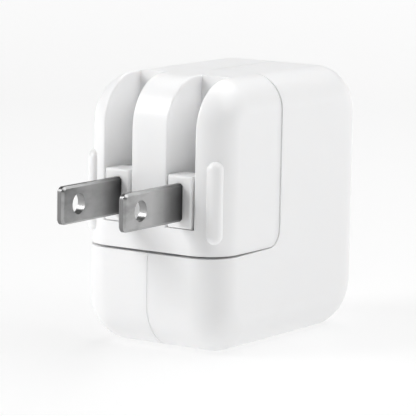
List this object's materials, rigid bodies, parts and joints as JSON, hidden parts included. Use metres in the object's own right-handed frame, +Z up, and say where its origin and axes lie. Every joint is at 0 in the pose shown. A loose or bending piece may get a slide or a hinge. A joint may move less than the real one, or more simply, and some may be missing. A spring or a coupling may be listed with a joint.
{
  "type": "usb wall charger",
  "caption": "Rounded square wall charger with a USB port in its rear edge and a removable corner plug module whose two flat prongs fold into grooves.",
  "frame": {"origin": "middle of the body's base, on the surface that the charger stands on", "axes": "+Z up, -Y the way the unfolded prongs point, +X out of the right large face"},
  "size_m": [0.0294, 0.0642, 0.0473],
  "materials": {
    "case_plastic": "gloss white, smooth moulded",
    "module_plastic": "gloss white, smooth moulded",
    "rotor_plastic": "satin white, moulded",
    "inner_plastic": "matte off-white, moulded",
    "prong_metal": "nickel plated, satin",
    "stud_metal": "satin",
    "spring_metal": "satin bronze",
    "spring_steel": "satin",
    "contact_brass": "satin",
    "tinned_metal": "satin tinned",
    "usb_steel": "satin nickel plated",
    "usb_insulator": "satin white, moulded",
    "gold_contact": "polished gold plated",
    "circuit_board": "satin green solder mask",
    "film_sheet": "satin translucent film",
    "heat_metal": "satin",
    "can_sleeve": "gloss sleeve",
    "polymer_can": "satin can",
    "ferrite": "matte sintered",
    "bobbin_plastic": "matte black",
    "coil_tape": "gloss yellow tape over copper",
    "copper_wire": "enamelled copper",
    "film_box": "satin yellow",
    "disc_ceramic": "gloss blue",
    "sleeve_brown": "satin sleeve",
    "chip_epoxy": "matte black epoxy"
  },
  "bodies": {
    "case": {"case_half_left": "case_plastic", "case_half_right": "case_plastic", "module_stud": "stud_metal", "stud_nut": "stud_metal", "inlet_block": "inner_plastic", "inlet_pins": "contact_brass", "inlet_lead_live": "tinned_metal", "inlet_lead_neutral": "tinned_metal", "usb_shell": "usb_steel", "usb_tongue": "usb_insulator", "usb_contacts": "gold_contact", "primary_board": "circuit_board", "secondary_board": "circuit_board", "insulating_sheet": "film_sheet", "heat_plate": "heat_metal", "bulk_capacitors": "can_sleeve", "output_capacitors": "polymer_can", "transformer_core": "ferrite", "transformer_bobbin": "bobbin_plastic", "transformer_winding": "coil_tape", "choke_core": "ferrite", "choke_windings": "copper_wire", "mains_capacitor": "film_box", "bridging_capacitor": "disc_ceramic", "fuse": "sleeve_brown", "bridge_rectifier": "chip_epoxy", "switch_transistor": "chip_epoxy", "heat_sink": "heat_metal", "control_chip": "chip_epoxy", "output_rectifier": "chip_epoxy", "output_inductor": "ferrite"},
    "plug_module": {"module_shell": "module_plastic", "back_cover": "module_plastic", "rotor_bridge": "inner_plastic", "socket_insulator": "inner_plastic", "socket_contacts": "contact_brass", "contact_springs": "spring_metal", "stud_spring": "spring_steel", "detent_spring": "spring_steel"},
    "prongs": {"prong_rotor": "rotor_plastic", "prong_left": "prong_metal", "prong_right": "prong_metal"}
  },
  "joints": [
    {"name": "module_slide", "type": "slide", "parent": "case", "child": "plug_module", "axis": [0, -1, 0], "range_m": [0, 0.032]},
    {"name": "prong_fold", "type": "hinge", "parent": "plug_module", "child": "prongs", "pos_m": [0, -0.0191, 0.0266], "axis": [-1, 0, 0], "range_deg": [0, 90], "deforming": ["detent_spring"]}
  ]
}
